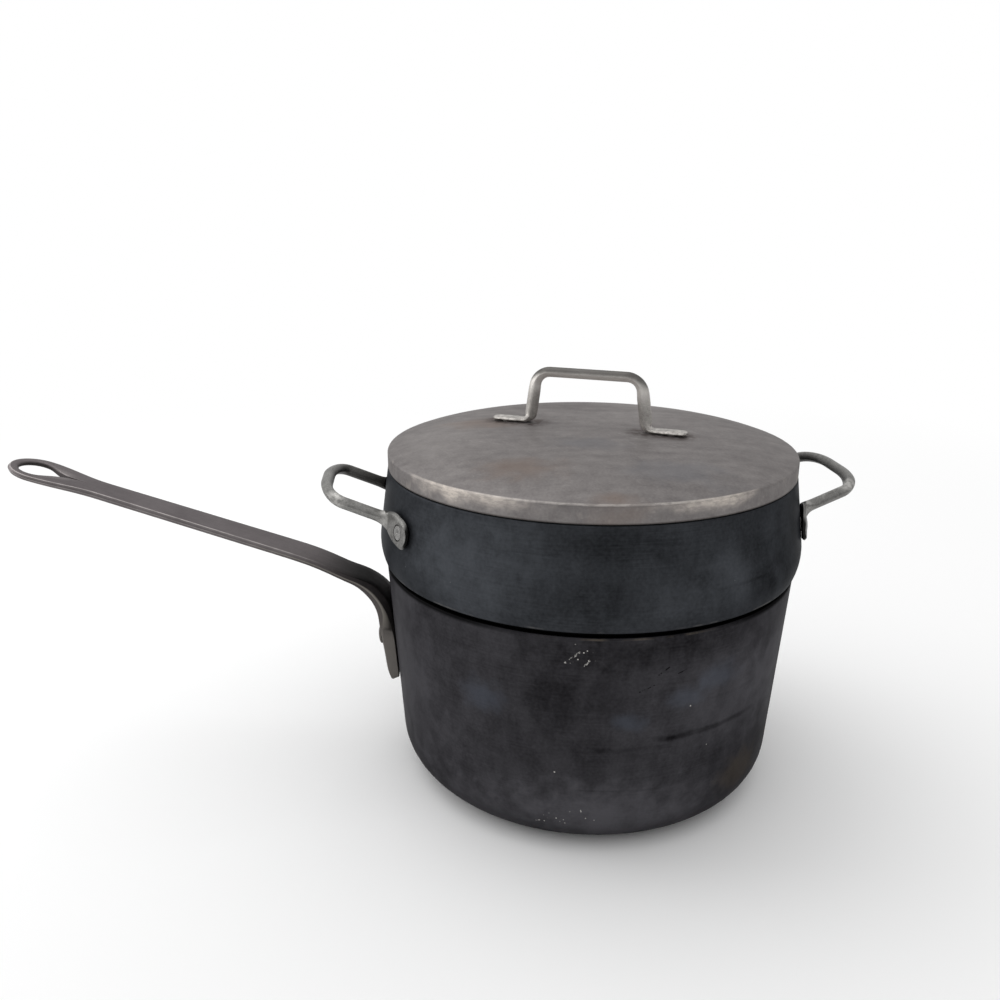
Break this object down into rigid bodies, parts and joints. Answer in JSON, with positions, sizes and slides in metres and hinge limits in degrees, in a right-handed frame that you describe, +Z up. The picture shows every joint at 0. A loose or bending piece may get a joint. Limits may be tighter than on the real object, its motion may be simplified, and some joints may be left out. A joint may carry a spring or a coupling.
{
  "type": "saucepan",
  "caption": "Double boiler saucepan: tapered pan with a long strap handle and hanging loop, bellied lift-out insert with side handles, and a low domed lid with a bar handle.",
  "frame": {"origin": "the saucepan's axis at the underside of its flat base", "axes": "+Z up along the saucepan's axis, long handle along -X, +Y to the back"},
  "size_m": [0.3965, 0.195, 0.1901],
  "materials": {
    "saucepan_metal": "dark anodised, matt, with worn and stained patches",
    "insert_metal": "dark anodised, matt",
    "lid_metal": "grey anodised, worn, satin",
    "long_handle_metal": "bare grey, satin",
    "bar_handle_metal": "tinned, satin",
    "rivet_metal": "satin"
  },
  "bodies": {
    "saucepan": {"saucepan_body": "saucepan_metal", "saucepan_handle": "long_handle_metal", "saucepan_handle_rivet_1": "rivet_metal", "saucepan_handle_rivet_2": "rivet_metal", "saucepan_handle_rivet_3": "rivet_metal"},
    "insert": {"insert_body": "insert_metal", "insert_handle_right": "bar_handle_metal", "insert_handle_left": "bar_handle_metal", "insert_handle_right_rivet_1": "rivet_metal", "insert_handle_right_rivet_2": "rivet_metal", "insert_handle_left_rivet_1": "rivet_metal", "insert_handle_left_rivet_2": "rivet_metal"},
    "lid": {"lid_cover": "lid_metal", "lid_handle": "bar_handle_metal", "lid_handle_rivet_1": "rivet_metal", "lid_handle_rivet_2": "rivet_metal"}
  },
  "joints": [
    {"name": "insert_lift", "type": "slide", "parent": "saucepan", "child": "insert", "axis": [0, 0, 1], "range_m": [0, 0.08]},
    {"name": "lid_lift", "type": "slide", "parent": "insert", "child": "lid", "axis": [0, 0, 1], "range_m": [0, 0.06]}
  ]
}
